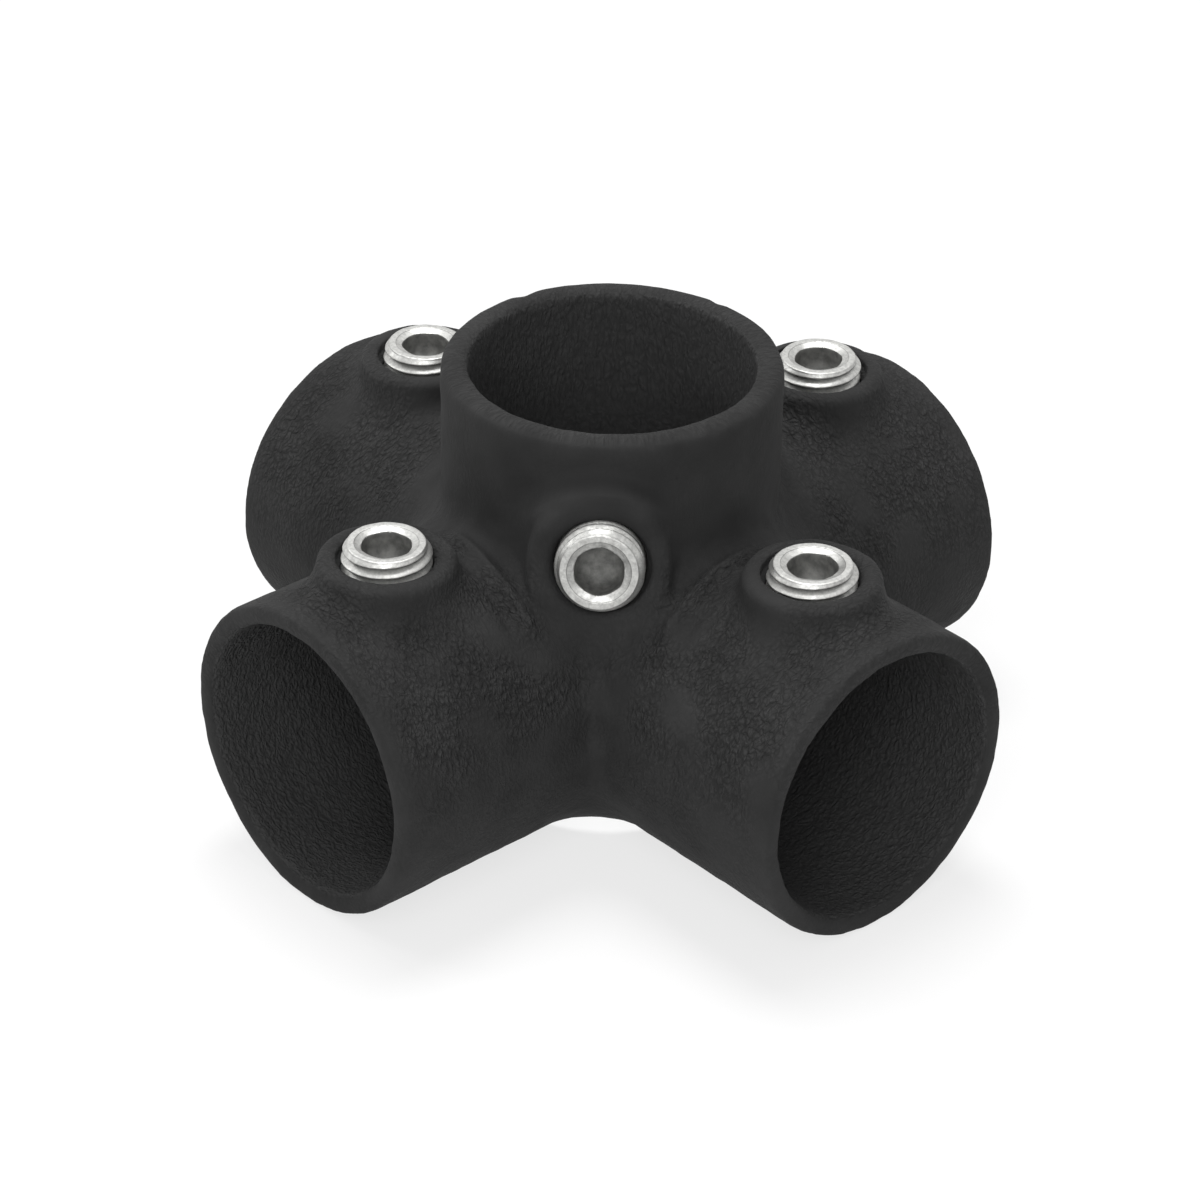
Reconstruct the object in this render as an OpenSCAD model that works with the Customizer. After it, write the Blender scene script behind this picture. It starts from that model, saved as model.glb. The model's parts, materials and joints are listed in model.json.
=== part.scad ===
// Cross fitting that joins one upright tube to four level tubes.
// Origin where the tube axes cross, upright along +Z, arms along +X, +Y, -X and -Y.

/* [Tube] */
// Outside diameter of every tube that the fitting holds
tube_d = 48.3; // [42:0.1:60]
// Play on diameter between a level tube and its socket
socket_play = 1.2; // [0.4:0.1:2]
// Play on diameter between the upright tube and the sleeve
sleeve_play = 2.1; // [0.6:0.1:3]

/* [Arms] */
// Wall of the arms
arm_wall = 3.75; // [3:0.05:6]
// Depth of each socket, from its mouth to the face that stops the tube
socket_depth = 41; // [36:0.5:60]
// Wall between the upright bore and the face that stops the tube
stop_wall = 4.8; // [3:0.1:10]
// Diameter of the opening from each socket to the upright bore
window_d = 22; // [14:0.5:30]
// Rounding of an arm's outer edge at its mouth
mouth_round = 0.7; // [0.3:0.1:1.5]
// Chamfer at the mouth of each bore
mouth_chamfer = 0.5; // [0.2:0.1:1]

/* [Sleeve] */
// Wall of the upright sleeve
sleeve_wall = 4.8; // [4:0.1:8]
// Height of the sleeve above the top of the arms
sleeve_rise = 24.8; // [22:0.2:50]
// Rounding of the sleeve's top outer edge
sleeve_round = 1.5; // [0.5:0.1:2.5]
// Fillet where the sleeve meets the arms
sleeve_fillet = 4; // [2:0.25:5]

/* [Crossing] */
// Inner radius, in plan, of the corner between neighbouring arms
corner_r = 2.5; // [1:0.25:8]

/* [Screws] */
// Diameter of the set screws
screw_d = 16; // [12:0.5:18]
// Length of the set screws
screw_length = 10; // [9:0.5:14]
// Play on diameter between a screw and its threaded hole
screw_play = 0.12; // [0.04:0.02:0.2]
// Chamfer at both ends of a set screw
screw_chamfer = 1.1; // [0.5:0.1:1.5]
// Width across flats of the hexagon key socket
key_flats = 8; // [5:0.5:9]
// Depth of the key socket
key_depth = 5.5; // [3:0.5:6]
// Height of the front right screw's end above its boss
front_right_proud = 1.7; // [0.5:0.1:4]
// Height of the rear right screw's end above its boss
rear_right_proud = 2.4; // [0.5:0.1:4]
// Height of the rear left screw's end above its boss
rear_left_proud = 2.1; // [0.5:0.1:4]
// Height of the front left screw's end above its boss
front_left_proud = 2.4; // [0.5:0.1:4]
// Height of the sleeve screw's end above its boss
sleeve_screw_proud = 2.4; // [0.5:0.1:4]

/* [Bosses] */
// Wall of a boss round its screw
boss_wall = 4.2; // [2.5:0.1:5]
// Height of an arm boss's face above the arm
boss_rise = 5.2; // [3:0.1:7]
// Height of the sleeve boss's face above the sleeve
sleeve_boss_rise = 4.5; // [3:0.1:7]
// Rounding of a boss's outer edge
boss_round = 1.6; // [0.5:0.1:2]
// Fillet at the foot of an arm boss
boss_fillet = 4.5; // [2:0.25:5]
// Fillet between the sleeve and its boss and pad
sleeve_boss_fillet = 3; // [2:0.25:5]
// Chamfer at the mouth of a screw hole
hole_chamfer = 1.2; // [0.3:0.1:1.5]
// Distance from an arm's mouth to the axis of its screw
boss_inset = 20; // [17:0.5:22]
// Height at which the sleeve screw's axis crosses the upright axis
sleeve_screw_z = 25.5; // [22:0.5:35]
// Upward tilt of the sleeve screw, in degrees
sleeve_screw_tilt = 10; // [0:1:15]

/* [Hidden] */
$fn = 96;

socket_r = (tube_d + socket_play) / 2;
sleeve_bore_r = (tube_d + sleeve_play) / 2;
arm_r = socket_r + arm_wall;
sleeve_r = sleeve_bore_r + sleeve_wall;
socket_floor = sleeve_bore_r + stop_wall;
arm_reach = socket_floor + socket_depth;
sleeve_top = arm_r + sleeve_rise;
// The corner sweep is a hair thinner than the arms, so that the two never lie face on face.
corner_section = arm_r - 0.1;
corner_c = arm_r + corner_r;
// The sleeve starts inside the crossing, just above the underside of the corners.
sleeve_foot = -0.7 * arm_r;

screw_r = (screw_d - screw_play) / 2;
hole_r = screw_d / 2;
boss_r = hole_r + boss_wall;
boss_top = arm_r + boss_rise;
boss_at = arm_reach - boss_inset;
sleeve_boss_top = sleeve_r + sleeve_boss_rise;
sleeve_screw_end = sleeve_boss_top + sleeve_screw_proud;
// The pad under the sleeve's boss runs down its face until it is well inside the crossing.
pad_foot_z = 0.3 * arm_r;
pad_drop = (sleeve_screw_z + sleeve_boss_top * sin(sleeve_screw_tilt) - pad_foot_z) / cos(sleeve_screw_tilt);
key_r = key_flats / 2 / cos(30);

// How far the outer skins of a fillet dive below the walls that they meet
sink = 0.12;
fillet_steps = 5;
cut = 1;

function square_of(a) = a * a;

// Points of an arc about [x, y]
function arc(x, y, r, from, to, steps = 6) =
    [for (i = [0:steps]) let (a = from + (to - from) * i / steps) [x + r * cos(a), y + r * sin(a)]];

// Height of a round wall along a boss's axis, at (x, y) from that axis
function wall_height(x, y, wall_r, tilt) =
    (sqrt(square_of(wall_r) - square_of(y)) - x * sin(tilt)) / cos(tilt);

// Height of one arm at a distance to the side of its axis
function arm_height(side) =
    abs(side) < arm_r ? sqrt(square_of(arm_r) - square_of(side)) : 0;

// Height of the swept corner between two arms at a point in plan
function corner_height(x, y) =
    let (u = corner_c - abs(x), v = corner_c - abs(y), off = norm([u, v]) - corner_c)
    u < 0 || v < 0 || abs(off) > corner_section ? 0
        : sqrt(square_of(corner_section) - square_of(off));

function crossing_height(x, y) = max(arm_height(x), arm_height(y), corner_height(x, y));

// Closed solid between rings of points, the first ring on top, with a fan to a point at each end
module ring_stack(rings, high, low) {
    n = len(rings[0]);
    last = n * (len(rings) - 1);
    polyhedron(
        points = [for (ring = rings) each ring, high, low],
        faces = [
            for (a = [0:n:last - 1], i = [0:n - 1])
                let (j = (i + 1) % n)
                each [[a + i, a + j, a + n + j], [a + i, a + n + j, a + n + i]],
            for (i = [0:n - 1]) [last + n, (i + 1) % n, i],
            for (i = [0:n - 1]) [last + n + 1, last + i, last + (i + 1) % n]
        ]
    );
}

// Points round a circle, or round a slot that runs from the circle towards +X
function slot_outline(r, length) =
    let (repeat = length > 0 ? 0 : 10)
    concat([for (turn = [-90:10:90]) [length + r * cos(turn), r * sin(turn)]],
           [for (turn = [90 + repeat:10:270 - repeat]) [r * cos(turn), r * sin(turn)]]);

// Concave fillet at the foot of a boss on a round wall. The boss's axis is local Z,
// and a pad of the boss's width runs a length down from it, along +X.
module boss_foot(wall_r, fillet, tilt, face, length) {
    reach = boss_r + fillet;
    skin = fillet + sink;
    rings = [
        for (step = [0:fillet_steps]) let (a = 90 * step / fillet_steps, r = reach - skin * cos(a))
            [for (p = slot_outline(r, length))
                [p.x, p.y, min(wall_height(p.x, p.y, wall_r, tilt) + fillet - skin * sin(a),
                               face - boss_round)]]
    ];
    ring_stack(rings, [length / 2, 0, face - boss_round - sink], [0, 0, wall_r * 0.7]);
}

// Concave fillet between the sleeve and the crossing of the arms
module sleeve_foot_fillet() {
    reach = sleeve_r + sleeve_fillet;
    skin = sleeve_fillet + sink;
    rings = [
        for (step = [0:fillet_steps]) let (a = 90 * step / fillet_steps, r = reach - skin * cos(a))
            [for (turn = [0:5:355]) let (x = r * cos(turn), y = r * sin(turn))
                [x, y, crossing_height(x, y) + sleeve_fillet - skin * sin(a)]]
    ];
    ring_stack(rings, [0, 0, arm_r], [0, 0, 0]);
}

// Turned solid of a boss from the axis of its wall to its face
module boss(face) {
    rotate_extrude()
        polygon(concat([[0, 0], [boss_r, 0]],
                       arc(boss_r - boss_round, face - boss_round, boss_round, 0, 90),
                       [[0, face]]));
}

// Pad that carries the sleeve's boss down into the crossing, as wide as the boss and level with it
module sleeve_pad() {
    edge = boss_r - boss_round;
    rotate([90, 0, 90]) linear_extrude(pad_drop)
        polygon(concat([[-boss_r, 0], [boss_r, 0]],
                       arc(edge, sleeve_boss_top - boss_round, boss_round, 0, 90),
                       arc(-edge, sleeve_boss_top - boss_round, boss_round, 90, 180)));
}

// What a screw hole takes away, from a depth to above the boss's face
module screw_hole(from, face) {
    translate([0, 0, from]) cylinder(r = hole_r, h = face - from + cut);
    translate([0, 0, face - hole_chamfer])
        cylinder(r1 = hole_r, r2 = hole_r + hole_chamfer + cut, h = hole_chamfer + cut);
}

module on_arm(turn) {
    rotate([0, 0, turn]) translate([boss_at, 0, 0]) children();
}

module on_sleeve() {
    translate([0, 0, sleeve_screw_z]) rotate([0, 90 - sleeve_screw_tilt, -45]) children();
}

module arm_outside() {
    rotate([0, 90, 0]) rotate_extrude()
        polygon(concat([[0, 0], [arm_r, 0]],
                       arc(arm_r - mouth_round, arm_reach - mouth_round, mouth_round, 0, 90, 3),
                       [[0, arm_reach]]));
}

module corner() {
    translate([corner_c, corner_c, 0]) rotate([0, 0, 180])
        rotate_extrude(angle = 90) translate([corner_c, 0]) circle(r = corner_section);
}

module sleeve_outside() {
    rotate_extrude()
        polygon(concat([[0, sleeve_foot], [sleeve_r, sleeve_foot]],
                       arc(sleeve_r - sleeve_round, sleeve_top - sleeve_round, sleeve_round, 0, 90),
                       [[0, sleeve_top]]));
}

module socket() {
    rotate([0, 90, 0]) {
        translate([0, 0, socket_floor]) cylinder(r = socket_r, h = socket_depth + cut);
        translate([0, 0, arm_reach - mouth_chamfer])
            cylinder(r1 = socket_r, r2 = socket_r + mouth_chamfer + cut, h = mouth_chamfer + cut);
        cylinder(d = window_d, h = socket_floor + cut);
    }
}

module upright_bore() {
    translate([0, 0, -arm_r - cut]) cylinder(r = sleeve_bore_r, h = arm_r + sleeve_top + 2 * cut);
    translate([0, 0, sleeve_top - mouth_chamfer])
        cylinder(r1 = sleeve_bore_r, r2 = sleeve_bore_r + mouth_chamfer + cut, h = mouth_chamfer + cut);
}

module casting() {
    color("#2e2e2d") difference() {
        union() {
            for (turn = [0:90:270]) {
                rotate([0, 0, turn]) {
                    arm_outside();
                    corner();
                }
                on_arm(turn) {
                    boss(boss_top);
                    boss_foot(arm_r, boss_fillet, 0, boss_top, 0);
                }
            }
            sleeve_outside();
            sleeve_foot_fillet();
            on_sleeve() {
                boss(sleeve_boss_top);
                sleeve_pad();
                boss_foot(sleeve_r, sleeve_boss_fillet, sleeve_screw_tilt, sleeve_boss_top, pad_drop);
            }
        }
        upright_bore();
        for (turn = [0:90:270]) {
            rotate([0, 0, turn]) socket();
            on_arm(turn) screw_hole(0, boss_top);
        }
        on_sleeve() screw_hole(0, sleeve_boss_top);
    }
}

// Set screw with its key end at z = 0 and its cup point below
module set_screw() {
    color("#c8c8c6") difference() {
        rotate_extrude()
            polygon([[0, -screw_length], [screw_r - screw_chamfer, -screw_length],
                     [screw_r, -screw_length + screw_chamfer], [screw_r, -screw_chamfer],
                     [screw_r - screw_chamfer, 0], [0, 0]]);
        translate([0, 0, -key_depth]) cylinder(r = key_r, h = key_depth + cut, $fn = 6);
        translate([0, 0, -key_r * 0.12])
            cylinder(r1 = key_r * 0.95, r2 = key_r * 1.07 + cut, h = key_r * 0.12 + cut);
        translate([0, 0, -screw_length - cut]) cylinder(r1 = key_r + cut, r2 = 0, h = key_r / 2 + cut);
    }
}

module arm_screw(turn, proud) {
    on_arm(turn) translate([0, 0, boss_top + proud]) set_screw();
}

module screw_front_right() { arm_screw(0, front_right_proud); }
module screw_rear_right() { arm_screw(90, rear_right_proud); }
module screw_rear_left() { arm_screw(180, rear_left_proud); }
module screw_front_left() { arm_screw(270, front_left_proud); }
module screw_sleeve() { on_sleeve() translate([0, 0, sleeve_screw_end]) set_screw(); }

casting();
screw_front_right();
screw_rear_right();
screw_rear_left();
screw_front_left();
screw_sleeve();
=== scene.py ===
import json
import math

import bmesh
import bpy
import numpy as np
from mathutils import Matrix, Vector, noise


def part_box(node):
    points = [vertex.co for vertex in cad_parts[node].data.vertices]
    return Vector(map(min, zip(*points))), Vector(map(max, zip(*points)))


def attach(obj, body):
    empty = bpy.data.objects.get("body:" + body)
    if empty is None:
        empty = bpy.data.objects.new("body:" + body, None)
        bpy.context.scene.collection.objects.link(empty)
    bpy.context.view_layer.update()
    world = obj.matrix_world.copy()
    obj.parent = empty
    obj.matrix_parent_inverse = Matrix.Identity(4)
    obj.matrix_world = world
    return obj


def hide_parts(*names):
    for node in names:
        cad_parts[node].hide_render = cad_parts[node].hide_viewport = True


# Black-coated cast cross for round tube, with bright set screws.
# Everything is in metres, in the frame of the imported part.
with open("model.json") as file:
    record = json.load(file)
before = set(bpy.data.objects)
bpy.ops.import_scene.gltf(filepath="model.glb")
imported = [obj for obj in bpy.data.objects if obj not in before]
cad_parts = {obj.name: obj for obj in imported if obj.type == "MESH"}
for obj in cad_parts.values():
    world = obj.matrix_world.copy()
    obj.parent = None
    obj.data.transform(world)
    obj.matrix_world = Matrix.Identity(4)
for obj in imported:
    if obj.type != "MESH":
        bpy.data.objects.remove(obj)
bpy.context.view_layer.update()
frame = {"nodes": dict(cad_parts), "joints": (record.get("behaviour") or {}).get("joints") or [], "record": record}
mm = 0.001

castLow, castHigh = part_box("casting")
mounts = {m["name"]: m for m in frame["record"]["mounts"]}
armRadius = -castLow.z
socketRadius = mounts["socket_front_right"]["dims"]["r_mm"] * mm
sleeveBore = mounts["upright"]["dims"]["r_mm"] * mm
sleeveWall = 4.8 * mm
sleeveOuter = sleeveBore + sleeveWall
screwNodes = [name for name in frame["nodes"] if name.startswith("screw_")]
screwLow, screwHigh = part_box("screw_front_right")
bossAt = ((screwLow + screwHigh) / 2).xy.length    # how far out on an arm its screw stands


shot = {
    "azimuth": 47.7915,     # degrees, round the upright axis
    "elevation": 31.8508,
    "roll": 0.9308,
    "distance": 0.756464,
    "aside": -0.001456,    # the aim lies this far from the crossing, to the right
    "above": 0.003423,
    "lens": 125.64,        # on a sensor 36 mm wide
}


def makeCamera():
    a, e = math.radians(shot["azimuth"]), math.radians(shot["elevation"])
    back = Vector((math.sin(a) * math.cos(e), -math.cos(a) * math.cos(e), math.sin(e)))
    right = Vector((math.cos(a), math.sin(a), 0))
    up = back.cross(right)
    roll = Matrix.Rotation(math.radians(shot["roll"]), 3, back)
    right, up = roll @ right, roll @ up
    camera = bpy.data.objects.new("camera", bpy.data.cameras.new("camera"))
    camera.data.lens = shot["lens"]
    camera.data.sensor_width = 36
    camera.data.clip_end = 20
    place = back * shot["distance"] + right * shot["aside"] + up * shot["above"]
    camera.matrix_world = Matrix((
        (right.x, up.x, back.x, place.x),
        (right.y, up.y, back.y, place.y),
        (right.z, up.z, back.z, place.z),
        (0, 0, 0, 1),
    ))
    bpy.context.scene.collection.objects.link(camera)
    bpy.context.scene.camera = camera


makeCamera()
print("camera ready")


def linear(hexColour):
    parts = [int(hexColour[i:i + 2], 16) / 255 for i in (1, 3, 5)]
    return [c / 12.92 if c <= 0.04045 else ((c + 0.055) / 1.055) ** 2.4 for c in parts] + [1]


def newMaterial(name):
    material = bpy.data.materials.new(name)
    material.use_nodes = True
    material.node_tree.nodes.clear()
    return material, material.node_tree


# One node with its settings and links. A link is a (node, socket) pair, and the
# setting "stops" holds the two ends of a colour ramp.
def addNode(tree, kind, settings=None, **sockets):
    node = tree.nodes.new("ShaderNode" + kind)
    for key, value in (settings or {}).items():
        if key == "stops":
            for element, (position, colour) in zip(node.color_ramp.elements, value):
                element.position = position
                element.color = colour
        else:
            setattr(node, key, value)
    for key, value in sockets.items():
        if key[0] == "i" and key[1:].isdigit():
            target = node.inputs[int(key[1:])]
        else:
            target = node.inputs[key.replace("_", " ")]
        if isinstance(value, tuple) and isinstance(value[0], bpy.types.Node):
            tree.links.new(value[0].outputs[value[1]], target)
        else:
            target.default_value = value
    return node


coating = {
    "dark": "#242424",
    "light": "#2f2f2f",
    "bore": "#373737",      # painted light that lifts the shade inside the bores
    "pebble": 0.68,         # mm across one bump of the cast skin
    "drawn": 0.66,          # bumps are a little longer round an arm
    "streak": 0.45,         # and much longer up the sleeve
    "patch": 16,            # mm across a duller or shinier patch
    "paintedEdgeLight": 1.32,           # how much painted highlight lightens the edges and rims
    "grit": 0.4,            # mm across the grain in the coating itself
    "skinHeight": 0.6,      # mm
    "gritHeight": 0.05,
}


# Black stoved coating on sand-cast iron: matt, thick enough to round the grain,
# with the mould's wrinkled skin showing through it. Its IOR is a paint's, near 1.45.
def coatedIron():
    material, tree = newMaterial("blackCoatedCastIron")
    place = addNode(tree, "TexCoord")
    regions = {name: addNode(tree, "Attribute", {"attribute_name": name})
               for name in ("xArm", "sleeve", "boreWall", "coarse", "edge")}

    # The sleeve's bumps follow its axis on the wall and its radius on the rim.
    flat = addNode(tree, "VectorMath", {"operation": "MULTIPLY"}, i0=(place, "Object"), i1=(1, 1, 0))
    ray = addNode(tree, "VectorMath", {"operation": "NORMALIZE"}, i0=(flat, "Vector"))
    reach = addNode(tree, "VectorMath", {"operation": "LENGTH"}, i0=(flat, "Vector"))
    ring = addNode(tree, "VectorMath", {"operation": "SCALE"}, i0=(ray, "Vector"), Scale=27 * mm)
    upright = addNode(tree, "SeparateXYZ", None, Vector=(place, "Object"))
    along = addNode(tree, "Math", {"operation": "ADD"}, i0=(upright, "Z"), i1=(reach, "Value"))
    drift = addNode(tree, "Math", {"operation": "MULTIPLY"}, i0=(along, "Value"), i1=coating["streak"])
    lift = addNode(tree, "CombineXYZ", None, Z=(drift, "Value"))
    wrapped = addNode(tree, "VectorMath", {"operation": "ADD"}, i0=(ring, "Vector"), i1=(lift, "Vector"))

    # Worm-like bumps, drawn out round each arm and up the sleeve
    drawn = coating["drawn"]
    skins = []
    for start, stretch in (((place, "Object"), (1, drawn, drawn)), ((place, "Object"), (drawn, 1, drawn)),
                           ((wrapped, "Vector"), (1, 1, 1))):
        turned = addNode(tree, "Mapping", None, Vector=start, Scale=stretch)
        worms = addNode(tree, "TexNoise", None, Vector=(turned, "Vector"), Detail=2.0,
                        Scale=1 / (coating["pebble"] * 2 * mm))
        centred = addNode(tree, "VectorMath", {"operation": "SUBTRACT"}, i0=(worms, "Color"),
                          i1=(0.5, 0.5, 0.5))
        offset = addNode(tree, "VectorMath", {"operation": "SCALE"}, i0=(centred, "Vector"),
                         Scale=coating["pebble"] * 2.6 * mm)
        bent = addNode(tree, "VectorMath", {"operation": "ADD"}, i0=(turned, "Vector"), i1=(offset, "Vector"))
        skins.append(addNode(tree, "TexVoronoi", {"feature": "F1"}, Vector=(bent, "Vector"),
                             Scale=1 / (coating["pebble"] * mm)))
    arms = addNode(tree, "Mix", None, Factor=(regions["xArm"], "Fac"), i2=(skins[1], "Distance"),
                   i3=(skins[0], "Distance"))
    skin = addNode(tree, "Mix", None, Factor=(regions["sleeve"], "Fac"), i2=(arms, 0),
                   i3=(skins[2], "Distance"))
    grit = addNode(tree, "TexNoise", None, Vector=(place, "Object"), Scale=1 / (coating["grit"] * mm),
                   Detail=2.0, Roughness=0.6)
    patch = addNode(tree, "TexNoise", None, Vector=(place, "Object"),
                    Scale=1 / (coating["patch"] * mm), Detail=2.0, Roughness=0.6)

    height = addNode(tree, "Math", {"operation": "MULTIPLY"}, i0=(skin, 0), i1=(regions["coarse"], "Fac"))
    bumpSkin = addNode(tree, "Bump", {"invert": True}, Height=(height, "Value"), Strength=1.0,
                       Distance=coating["skinHeight"] * mm)
    bumpGrit = addNode(tree, "Bump", None, Height=(grit, "Fac"), Strength=1.0,
                       Distance=coating["gritHeight"] * mm, Normal=(bumpSkin, "Normal"))

    # Painted shade darkens the pits and painted light brightens the tops of the bumps, and painted highlights make
    # the edges and rims lighter than both.
    stops = [(0.3, linear(coating["dark"])), (0.7, linear(coating["light"]))]
    tone = addNode(tree, "ValToRGB", {"stops": stops}, Fac=(patch, "Fac"))
    # Inside the bores the coat's colour is lifted: painted light against the shade there.
    coat = addNode(tree, "Mix", {"data_type": "RGBA"}, Factor=(regions["boreWall"], "Fac"),
                   i6=(tone, "Color"), i7=linear(coating["bore"]))
    # Painted shade in the pits and painted light on the bumps' tops, stronger where the skin is coarse
    paintedPitShade = addNode(tree, "MapRange", None, Value=(skin, 0), From_Min=0.1, From_Max=0.7,
                   To_Min=1.45, To_Max=0.72)
    shade = addNode(tree, "Mix", None, Factor=(regions["coarse"], "Fac"), i2=1.0, i3=(paintedPitShade, "Result"))
    # Painted highlight on the edges and rims
    paintedEdgeLight = addNode(tree, "MapRange", None, Value=(regions["edge"], "Fac"), To_Min=1.0, To_Max=coating["paintedEdgeLight"])
    gain = addNode(tree, "Math", {"operation": "MULTIPLY"}, i0=(shade, 0), i1=(paintedEdgeLight, "Result"))
    colour = addNode(tree, "VectorMath", {"operation": "SCALE"}, i0=(coat, 2), Scale=(gain, "Value"))
    shader = addNode(tree, "BsdfPrincipled", None, Base_Color=(colour, "Vector"), Roughness=0.82,
                     Normal=(bumpGrit, "Normal"), IOR=1.45, Specular_IOR_Level=0.18)
    addNode(tree, "OutputMaterial", None, Surface=(shader, "BSDF"))
    return material


zinc = {
    "dull": "#9c9c9a",
    "bright": "#c4c4c1",
    # colour of the painted shade in the creases
    "creaseShade": "#343432",
    "mottle": 0.8,         # mm across a patch of the plating
    "grain": 0.22,         # mm, the plating's crystals, drawn as coarse as they need to show
    # Key socket greys: some dirt and painted shade in the recess
    "socketDark": "#50504e",
    "socketLight": "#747471",
    "socketMottle": 1.6,   # mm across a stain in the key socket
}


# Zinc plate on a rolled steel screw: a soft, grainy silver shine, with painted shade that turns it black in its
# creases.
def zincPlate():
    material, tree = newMaterial("zincPlatedSteel")
    place = addNode(tree, "TexCoord")
    creaseShade = addNode(tree, "Attribute", {"attribute_name": "creaseShade"})
    mottle = addNode(tree, "TexNoise", None, Vector=(place, "Object"),
                     Scale=1 / (zinc["mottle"] * mm), Detail=4.0, Roughness=0.7)
    grain = addNode(tree, "TexNoise", None, Vector=(place, "Object"),
                    Scale=1 / (zinc["grain"] * mm), Detail=1.0, Roughness=0.5)
    stops = [(0.32, linear(zinc["dull"])), (0.68, linear(zinc["bright"]))]
    tone = addNode(tree, "ValToRGB", {"stops": stops}, Fac=(mottle, "Fac"))
    # Painted shade darkens the creases and takes their metal's shine away
    creaseShaded = addNode(tree, "Mix", {"data_type": "RGBA"}, Factor=(creaseShade, "Fac"), i6=(tone, "Color"),
                     i7=linear(zinc["creaseShade"]))
    metal = addNode(tree, "Math", {"operation": "SUBTRACT"}, i0=1.0, i1=(creaseShade, "Fac"))
    rough = addNode(tree, "MapRange", None, Value=(mottle, "Fac"), From_Min=0.3, From_Max=0.7,
                    To_Min=0.56, To_Max=0.4)
    bump = addNode(tree, "Bump", None, Height=(grain, "Fac"), Strength=0.5, Distance=0.035 * mm)
    shader = addNode(tree, "BsdfPrincipled", None, Base_Color=(creaseShaded, 2), Roughness=(rough, "Result"),
                     Metallic=(metal, "Value"), Normal=(bump, "Normal"))
    addNode(tree, "OutputMaterial", None, Surface=(shader, "BSDF"))
    return material


# The key socket's broached walls keep thin, dull plating and some dirt; their darker grey is also painted shade
# for the recess.
def shadedSocketZinc():
    material, tree = newMaterial("keySocketZincWithPaintedShade")
    place = addNode(tree, "TexCoord")
    mottle = addNode(tree, "TexNoise", None, Vector=(place, "Object"),
                     Scale=1 / (zinc["socketMottle"] * mm), Detail=4.0, Roughness=0.6)
    stops = [(0.35, linear(zinc["socketDark"])), (0.7, linear(zinc["socketLight"]))]
    tone = addNode(tree, "ValToRGB", {"stops": stops}, Fac=(mottle, "Fac"))
    bump = addNode(tree, "Bump", None, Height=(mottle, "Fac"), Strength=0.5, Distance=0.15 * mm)
    shader = addNode(tree, "BsdfPrincipled", None, Base_Color=(tone, "Color"), Roughness=0.6,
                     Metallic=0.1, Normal=(bump, "Normal"))
    addNode(tree, "OutputMaterial", None, Surface=(shader, "BSDF"))
    return material


castMaterial = coatedIron()
zincMaterial = zincPlate()
socketMaterial = shadedSocketZinc()
print("materials ready")


def newPiece(name, bm, materials):
    mesh = bpy.data.meshes.new(name)
    bm.to_mesh(mesh)
    bm.free()
    piece = bpy.data.objects.new(name, mesh)
    bpy.context.scene.collection.objects.link(piece)
    for material in materials:
        mesh.materials.append(material)
    return piece


def applyModifiers(piece):
    graph = bpy.context.evaluated_depsgraph_get()
    done = bpy.data.meshes.new_from_object(piece.evaluated_get(graph))
    piece.modifiers.clear()
    old = piece.data
    piece.data = done
    bpy.data.meshes.remove(old)


def readVector(collection, field, width=3):
    values = np.zeros(len(collection) * width, np.float64 if width == 3 else np.int32)
    collection.foreach_get(field, values)
    return values.reshape(-1, width)


# Where a screw sits: the middle of its key end, and its axis pointing out of the boss
def screwPlace(node):
    low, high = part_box(node)
    body = next(name for name, members in frame["record"]["behaviour"]["bodies"].items() if node in members)
    joint = next(j for j in frame["joints"] if j["child"] == body)
    axis = Vector(joint["axis"]).normalized()
    return body, (low + high) / 2 + axis * screwShape["length"] / 2, axis


screwShape = {
    "length": 10 * mm,
    "radius": 7.86 * mm,       # over the thread
    "pitch": 2.0 * mm,
    "threadDepth": 1.4 * mm,
    "flank": 1.7,              # slope of a thread's side
    "crestRound": 0.12 * mm,
    "ring": 6.6 * mm,          # where the flat end turns into its rounded edge
    "ringEdge": 6.84 * mm,
    "lead": 0.75,              # slope of the cone that cuts the first thread away
    "keyRadius": 4.42 * mm,    # corner of the key socket
    "keyRound": 0.72,          # how far the broached flats bow towards a circle
    "keyDepth": 5.0 * mm,
    "sinkRadius": 5.55 * mm,   # rim of the countersink round the key socket
    "sinkDepth": 0.62 * mm,
    "cup": 4.6 * mm,           # radius of the cup at the point
    "columns": 144,
    "threadRings": 100,
    "wear": 0.05 * mm,         # unevenness of the plated surface
}


# Radius of the threaded side at a height and an angle from where the groove runs out,
# with both ends cut to a cone
def threadRadius(z, angle):
    s = screwShape
    phase = (z / s["pitch"] - angle / (2 * math.pi)) % 1
    off = min(phase, 1 - phase) * s["pitch"]
    side = s["radius"] - s["threadDepth"] + max(off - 0.06 * mm, 0) * s["flank"]
    ends = min(-z, z + s["length"]) - 0.25 * mm
    top = min(s["radius"], s["ringEdge"] + max(ends, 0) * s["lead"])
    return top - s["crestRound"] * math.log1p(math.exp(min((top - side) / s["crestRound"], 60)))


# Reach of the key socket's rounded hexagon, as a share of its corner's
def hexagonShare(angle):
    turn = (angle % (math.pi / 3)) - math.pi / 6
    flat = math.cos(math.pi / 6) / math.cos(turn)
    return flat + (1 - flat) * screwShape["keyRound"]


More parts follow.
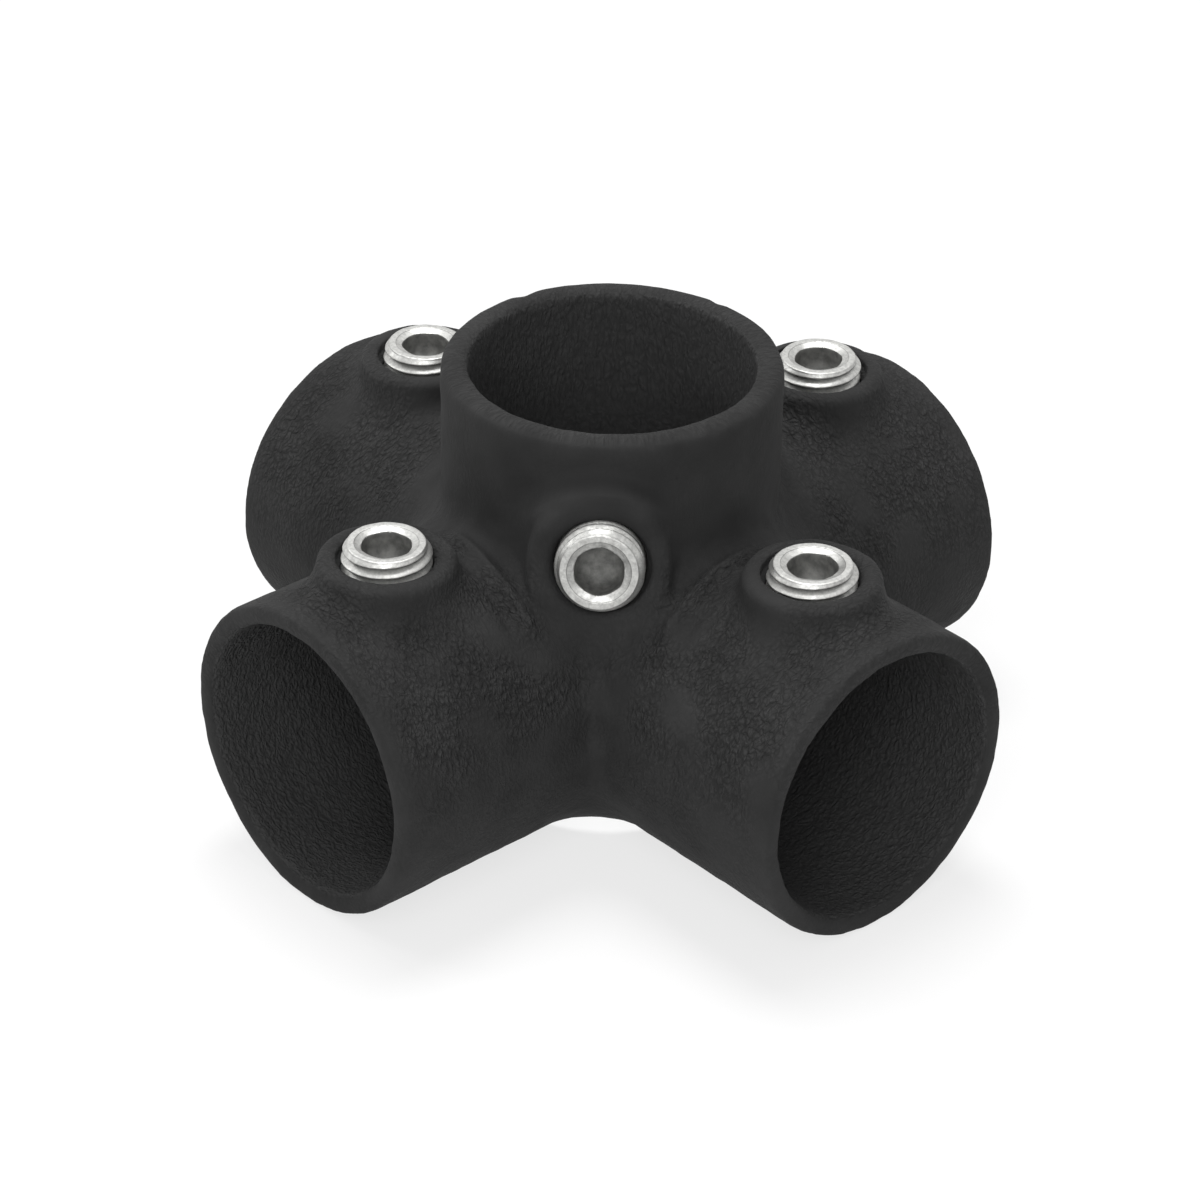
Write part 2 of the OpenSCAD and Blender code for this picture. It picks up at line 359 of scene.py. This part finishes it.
def makeScrew(node, groove, turn):
    s = screwShape
    key, depth, length = s["keyRadius"], s["keyDepth"], s["length"]
    sink, sinkDepth = s["sinkRadius"], s["sinkDepth"]
    side = [(s["radius"], -0.3 * mm - (length - 0.6 * mm) * i / s["threadRings"])
            for i in range(s["threadRings"] + 1)]
    outline = [(0, -depth - 0.3 * mm), (key * 0.5, -depth - 0.2 * mm), (key * 0.8, -depth + 0.25 * mm),
               (key * 0.95, -depth + 1.1 * mm), (key, -depth + 2.2 * mm), (key, -sinkDepth - 0.6 * mm),
               (key, -sinkDepth - 0.1 * mm), (key + 0.07 * mm, -sinkDepth + 0.04 * mm),
               (key + 0.14 * mm, -sinkDepth + 0.1 * mm), (sink - 0.14 * mm, -0.12 * mm),
               (sink - 0.02 * mm, -0.05 * mm), (sink + 0.04 * mm, 0), (sink + 0.14 * mm, 0),
               (s["ring"] - 0.1 * mm, 0), (s["ring"], 0), (s["ring"] + 0.12 * mm, -0.03 * mm),
               (s["ringEdge"] - 0.02 * mm, -0.12 * mm), (s["ringEdge"], -0.22 * mm)]
    point = [(s["ring"], -length), (s["cup"] + 0.3 * mm, -length),
             (s["cup"], -length + 0.1 * mm), (0, -length + 2.4 * mm)]
    bm = bmesh.new()
    chain = [bm.verts.new((r, 0, z)) for r, z in outline + side + point]
    edges = [bm.edges.new(pair) for pair in zip(chain, chain[1:])]
    bmesh.ops.spin(bm, geom=chain + edges, cent=(0, 0, 0), axis=(0, 0, 1), angle=2 * math.pi,
                   steps=s["columns"], use_merge=True)
    bmesh.ops.remove_doubles(bm, verts=bm.verts, dist=0.002 * mm)
    creaseShade = bm.verts.layers.float.new("creaseShade")
    for vert in bm.verts:
        radius, angle, z = math.hypot(vert.co.x, vert.co.y), math.atan2(vert.co.y, vert.co.x), vert.co.z
        if radius < 0.01 * mm:
            continue
        if radius > s["radius"] - 0.01 * mm:
            new = threadRadius(z, angle - math.radians(groove))
            # Painted shade: darker towards the root of the thread's groove
            vert[creaseShade] = 0.85 * min(max(1 - (new - s["radius"] + s["threadDepth"]) / (0.4 * mm), 0), 1)
        elif radius < key + 0.1 * mm and z > -depth - mm:
            new = radius * hexagonShare(angle - math.radians(turn))
        else:
            new = radius
            # Painted shade: a dark line along the countersink's rim
            if abs(radius - sink) < 0.03 * mm:
                vert[creaseShade] = 0.6
        new += noise.noise(Vector((vert.co.x, vert.co.y, z + turn)) / (1.6 * mm)) * s["wear"]
        vert.co.x *= new / radius
        vert.co.y *= new / radius
        vert.co.z += noise.noise(Vector((vert.co.x + turn, vert.co.y, z)) / (2.2 * mm)) * s["wear"]
    bmesh.ops.recalc_face_normals(bm, faces=bm.faces)
    # The key socket's faces take the darker zinc that paints the recess's shade.
    for face in bm.faces:
        middle = face.calc_center_median()
        inside = math.hypot(middle.x, middle.y) < key + 0.02 * mm and -depth - mm < middle.z < -sinkDepth
        face.material_index = 1 if inside else 0
        face.smooth = True
    body, end, axis = screwPlace(node)
    stand = Matrix.Translation(end) @ axis.to_track_quat("Z", "Y").to_matrix().to_4x4()
    bm.transform(stand)
    piece = newPiece("threaded_" + node, bm, [zincMaterial, socketMaterial])
    piece.data.set_sharp_from_angle(angle=math.radians(50))
    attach(piece, body)
    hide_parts(node)


# Angles round each screw's axis: where its groove runs out at the end, how its key
# socket is turned, where the gap at the hole's mouth is widest; then the gap in mm
screwAngles = {
    "screw_front_left": {"groove": 45, "key": 12, "gap": 20, "mouth": 0.35},
    "screw_front_right": {"groove": 15, "key": 41, "gap": 0, "mouth": 0.5},
    "screw_sleeve": {"groove": 92, "key": 25, "gap": 8, "mouth": 0.4},
    "screw_rear_left": {"groove": 60, "key": 50, "gap": 20, "mouth": 0.5},
    "screw_rear_right": {"groove": 20, "key": 3, "gap": 0, "mouth": 1.2},
}
for node in screwNodes:
    makeScrew(node, screwAngles[node]["groove"], screwAngles[node]["key"])
print("screws ready", len(screwNodes))


castSkin = {
    "voxel": 0.52 * mm,
    "settleSteps": 7,          # light smoothing that takes the voxel steps away
    "blendSteps": 42,          # heavy smoothing of the inner corners
    "blendFrom": 0.05,         # curvature in 1/mm where an inner corner starts
    "holeRadius": 8.04 * mm,   # the screws' threads clear this
    "bossTop": 33.7 * mm,      # height of the arm bosses' faces
    "sleeveProud": 2.4 * mm,   # how far the sleeve's screw stands out of its boss
    "recessShift": 0.42 * mm,  # the mouth lies this far off the screw's axis
    "recessDepth": 2.2 * mm,
    "lump": 6 * mm,            # across a shallow lump
    "lumpHeight": 0.13 * mm,
    "footLump": 0.3 * mm,      # more of it where the bosses and arms meet
    "ripple": 2.3 * mm,
    "rippleHeight": 0.07 * mm,
    # Ridge round a front arm beside the sleeve's boss, and shoulder over the sleeve's screw
    "foot": {"at": 33.4 * mm, "height": 1.2 * mm, "wide": 1.3 * mm, "hollow": 3.2 * mm},
    "hood": {"at": 12.8 * mm, "height": 1.6 * mm, "wide": 2.2 * mm, "hollow": 4.0 * mm},
    "triangles": 192000,
    # Knocks in the sleeve's top edge: angle round the axis, length and depth in mm
    "knocks": ((-38, 2.6, 0.35), (-29, 1.8, 0.5), (-17, 3.2, 0.4), (-6, 2.2, 0.6), (4, 2.6, 0.45),
               (14, 1.6, 0.4), (98, 2.4, 0.35), (171, 3.0, 0.4), (231, 2.0, 0.4)),
}


class Surface:
    def __init__(self, mesh):
        self.mesh = mesh
        self.points = readVector(mesh.vertices, "co")
        self.edges = readVector(mesh.edges, "vertices", 2)
        self.count = np.bincount(self.edges.ravel(), minlength=len(self.points)).astype(float)

    # Mean of each point's neighbours
    def around(self, values):
        a, b = self.edges[:, 0], self.edges[:, 1]
        size = len(self.points)
        flat = values.reshape(size, -1)
        total = [np.bincount(a, flat[b, k], size) + np.bincount(b, flat[a, k], size)
                 for k in range(flat.shape[1])]
        return (np.stack(total, 1) / self.count[:, None]).reshape(values.shape)

    def smooth(self, steps, weight):
        for _ in range(steps):
            self.points += (weight * 0.5)[:, None] * (self.around(self.points) - self.points)

    def write(self):
        self.mesh.vertices.foreach_set("co", self.points.ravel())
        self.mesh.update()

    def normals(self):
        self.write()
        return readVector(self.mesh.vertices, "normal")


def ramp(values, low, high):
    return np.clip((values - low) / (high - low), 0, 1)


def fadeIn(values, low, high):
    t = ramp(values, low, high)
    return t * t * (3 - 2 * t)


# Weight of the regions whose skin differs: the two X arms, the sleeve, the bores' walls,
# the coarse upper flanks, and the edges and rims that get painted highlights
def markRegions(mesh):
    surface = Surface(mesh)
    p = surface.points.copy()
    x, y, z = np.abs(p[:, 0]), np.abs(p[:, 1]), p[:, 2]
    deep, near = 0.45 * mm, 0.2 * mm
    inUpright = ramp(-np.hypot(x, y), -sleeveBore - deep, -sleeveBore - near)
    inX = ramp(-np.hypot(y, z), -socketRadius - deep, -socketRadius - near) * (x > y)
    inY = ramp(-np.hypot(x, z), -socketRadius - deep, -socketRadius - near) * (y > x)
    boreWall = np.maximum(inUpright, np.maximum(inX, inY))
    above = ramp(z, armRadius - 2 * mm, armRadius + 5 * mm)
    sleeve = above * ramp(-np.hypot(x, y), -sleeveOuter - 6 * mm, -sleeveOuter - 3 * mm)
    patches = np.array([noise.noise(Vector(q) / (9 * mm)) for q in p])
    coarse = (0.3 + 0.7 * ramp(z + patches * 9 * mm, 0, 14 * mm)) * ramp(patches, -0.7, 0.05)
    rims = ramp(np.maximum(x, y), castHigh.x - 5 * mm, castHigh.x - 1.5 * mm)
    normals = surface.normals()
    lift = ((surface.around(p) - p) * normals).sum(1)
    for _ in range(2):
        lift = surface.around(lift)
    outside = np.maximum(ramp(z, armRadius, armRadius + mm),
                         ramp(np.hypot(np.minimum(x, y), z), socketRadius + mm, socketRadius + 2 * mm))
    topRim = ramp(z, castHigh.z - 0.9 * mm, castHigh.z - 0.3 * mm)
    inner = 1 - ramp(np.maximum(x, y), armRadius + 2.5 * mm, armRadius + 6.5 * mm)
    crossing = inner * (0.35 + 0.4 * ramp(z, 12 * mm, 18 * mm))
    fromBoss = np.hypot(np.maximum(x, y) - bossAt, np.minimum(x, y))
    boss = (1 - ramp(fromBoss, 12 * mm, 15 * mm)) * ramp(z, 10 * mm, 20 * mm)
    quiet = (1 - sleeve * 0.65) * (1 - rims * 0.6) * (1 - crossing) * (1 - boss * 0.55)
    # Painted highlights: lighter convex edges, arm mouths' rims and the sleeve's top face
    paintedEdgeLight = np.maximum(ramp(-lift, 0.03 * mm, 0.09 * mm), np.maximum(rims * 0.15, topRim * 0.2))
    marks = {
        "xArm": ramp(x - y, -3 * mm, 3 * mm),
        "sleeve": sleeve,
        "boreWall": boreWall,
        "coarse": np.maximum(quiet * np.clip(coarse, 0.15, 1), np.maximum(topRim, boreWall) * 0.5),
        "edge": paintedEdgeLight * outside,
    }
    for name, values in marks.items():
        attribute = mesh.attributes.new(name, "FLOAT", "POINT")
        attribute.data.foreach_set("value", values.astype(np.float32))


# How far a ridge and the hollow beside it lift the skin, across their line
def ridgeLift(across, ridge):
    off = across - ridge["at"]
    top = np.exp(-(off / ridge["wide"]) ** 2)
    dip = np.exp(-((off - ridge["hollow"]) / (ridge["wide"] * 1.2)) ** 2)
    return ridge["height"] * (top - 0.6 * dip)


# The mould's marks on the front: a ridge round each front arm and a shoulder over the sleeve's screw
def ridges(points):
    x, y, z = points[:, 0], points[:, 1], points[:, 2]
    lift = np.zeros(len(points))
    for along, beside in ((-y, x), (x, -y)):
        flank = fadeIn(beside, -6 * mm, 0) * (1 - fadeIn(beside, 17 * mm, 22 * mm))
        lift += fadeIn(z, 17 * mm, 23 * mm) * flank * ridgeLift(along - 0.1 * beside, castSkin["foot"])
    _, end, axis = screwPlace("screw_sleeve")
    local = (points - np.array(end)) @ np.array(axis.to_track_quat("Z", "Y").to_matrix())
    angle = np.degrees(np.arctan2(local[:, 1], local[:, 0])) % 360
    arc = fadeIn(angle, 30, 60) * (1 - 0.65 * fadeIn(angle, 130, 165)) * (1 - fadeIn(angle, 195, 225))
    spot = arc * fadeIn(local[:, 2], -14 * mm, -9 * mm)
    return lift + spot * ridgeLift(np.hypot(local[:, 0], local[:, 1]), castSkin["hood"])


# Each screw hole stays round and clear of the thread, and its mouth is a wider recess
def openScrewHole(points, node, gap):
    c = castSkin
    _, end, axis = screwPlace(node)
    proud = c["sleeveProud"] if node == "screw_sleeve" else end.z - c["bossTop"]
    turn = axis.to_track_quat("Z", "Y").to_matrix()
    local = (points - np.array(end)) @ np.array(turn)
    radius = np.hypot(local[:, 0], local[:, 1])
    under = -proud - local[:, 2]
    angle = np.arctan2(local[:, 1], local[:, 0])
    fade = np.clip((c["recessDepth"] - under) / (0.5 * mm), 0, 1)
    mouth = gap["mouth"] * mm + c["recessShift"] * np.cos(angle - math.radians(gap["gap"]))
    wanted = c["holeRadius"] + np.maximum(mouth, 0) * fade
    near = (radius < wanted) & (radius > 5 * mm) & (under > -1.5 * mm) & (under < 12 * mm)
    grow = wanted[near] / radius[near]
    local[near, 0] *= grow
    local[near, 1] *= grow
    points[near] = local[near] @ np.array(turn).T + np.array(end)


def makeCasting():
    c = castSkin
    bm = bmesh.new()
    bm.from_mesh(frame["nodes"]["casting"].data)
    bmesh.ops.remove_doubles(bm, verts=bm.verts, dist=0.003 * mm)
    piece = newPiece("castBody", bm, [])
    remesh = piece.modifiers.new("voxels", "REMESH")
    remesh.mode = "VOXEL"
    remesh.voxel_size = c["voxel"]
    applyModifiers(piece)
    surface = Surface(piece.data)
    size = len(surface.points)
    print("casting remeshed", size)

    # Inner corners are where the neighbours stand out from the surface.
    surface.smooth(c["settleSteps"], np.ones(size))
    normals = surface.normals()
    lift = ((surface.around(surface.points) - surface.points) * normals).sum(1)
    for _ in range(6):
        lift = surface.around(lift)
    bend = lift / mm * 4 / (c["voxel"] / mm) ** 2
    corner = np.clip((bend - c["blendFrom"]) / c["blendFrom"], 0, 1)
    for _ in range(10):
        corner = np.maximum(corner, surface.around(corner))
    surface.smooth(c["blendSteps"], corner)
    surface.smooth(3, np.ones(size))
    print("casting blended")

    # Lumps and ripples of the sand mould
    normals = surface.normals()
    high = ramp(surface.points[:, 2], armRadius, armRadius + 8 * mm)
    shift = np.zeros(size)
    for i, p in enumerate(surface.points):
        place = Vector(p)
        lump = noise.fractal(place / c["lump"], 0.8, 2.0, 2)
        ripple = noise.noise(place / c["ripple"]) * c["rippleHeight"] * (1 - 0.6 * high[i])
        shift[i] = lump * (c["lumpHeight"] + c["footLump"] * corner[i]) + ripple
    for angle, length, depth in c["knocks"]:
        reach = sleeveOuter - 0.7 * mm
        place = np.array([math.cos(math.radians(angle)) * reach, math.sin(math.radians(angle)) * reach,
                          castHigh.z - 0.7 * mm])
        away = np.linalg.norm(surface.points - place, axis=1) / (length * 0.55 * mm)
        shift -= depth * mm * np.exp(-away * away)
    shift += ridges(surface.points)
    surface.points += normals * shift[:, None]
    for node in screwNodes:
        openScrewHole(surface.points, node, screwAngles[node])
    surface.write()

    thin = piece.modifiers.new("thin", "DECIMATE")
    faces = sum(len(p.vertices) - 2 for p in piece.data.polygons)
    thin.ratio = min(1, c["triangles"] / faces)
    applyModifiers(piece)
    piece.data.materials.clear()
    piece.data.materials.append(castMaterial)
    piece.data.polygons.foreach_set("use_smooth", [True] * len(piece.data.polygons))
    markRegions(piece.data)
    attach(piece, "fitting")
    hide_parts("casting")
    print("casting ready", len(piece.data.polygons))


makeCasting()


studio = {
    "floorDrop": 0.15 * mm,
    "floor": "#f2f2f2",
    "floorGlow": 0.72,         # share of plain white in the floor that the camera sees
    "ambient": 0.36,           # level of the room's light
    # Place, watts and width of each lamp
    "lamps": {
        "softTop": ((-0.15, 0.1, 0.9), 6.8, 0.45),
        "softLeft": ((-0.6, -0.35, 0.45), 1.5, 0.3),
        "softFront": ((0.55, -0.6, 0.55), 4.6, 0.6),
    },
}


def seesBackground(tree):
    path = addNode(tree, "LightPath")
    first = addNode(tree, "Math", {"operation": "MAXIMUM"}, i0=(path, "Is Camera Ray"),
                    i1=(path, "Is Glossy Ray"))
    return addNode(tree, "Math", {"operation": "MAXIMUM"}, i0=(first, "Value"),
                   i1=(path, "Is Transmission Ray"))


def makeFloor():
    bm = bmesh.new()
    bmesh.ops.create_grid(bm, x_segments=1, y_segments=1, size=4,
                          matrix=Matrix.Translation((0, 0, castLow.z - studio["floorDrop"])))
    material, tree = newMaterial("paleFloor")
    seen = seesBackground(tree)
    white = addNode(tree, "Emission", None, Color=(1, 1, 1, 1), Strength=1.0)
    matt = addNode(tree, "BsdfDiffuse", None, Color=linear(studio["floor"]))
    share = addNode(tree, "Math", {"operation": "MULTIPLY"}, i0=(seen, "Value"), i1=studio["floorGlow"])
    mix = addNode(tree, "MixShader", None, i0=(share, "Value"), i1=(matt, "BSDF"), i2=(white, "Emission"))
    addNode(tree, "OutputMaterial", None, Surface=(mix, "Shader"))
    floor = newPiece("floor", bm, [material])


def makeWorld():
    world = bpy.data.worlds.new("studio")
    bpy.context.scene.world = world
    world.use_nodes = True
    tree = world.node_tree
    tree.nodes.clear()
    seen = seesBackground(tree)
    room = addNode(tree, "Background", None, Color=(1, 1, 1, 1), Strength=studio["ambient"])
    white = addNode(tree, "Background", None, Color=(1, 1, 1, 1), Strength=1.0)
    mix = addNode(tree, "MixShader", None, i0=(seen, "Value"), i1=(room, "Background"),
                  i2=(white, "Background"))
    addNode(tree, "OutputWorld", None, Surface=(mix, "Shader"))


def makeLamp(name, place, power, size):
    lamp = bpy.data.objects.new(name, bpy.data.lights.new(name, "AREA"))
    lamp.data.energy = power
    lamp.data.shape = "DISK"
    lamp.data.size = size
    place = Vector(place)
    lamp.matrix_world = Matrix.Translation(place) @ place.to_track_quat("Z", "Y").to_matrix().to_4x4()
    bpy.context.scene.collection.objects.link(lamp)


makeFloor()
makeWorld()
for name, (place, power, size) in studio["lamps"].items():
    makeLamp(name, place, power, size)
bpy.context.scene.view_settings.view_transform = "Standard"
print("studio ready")
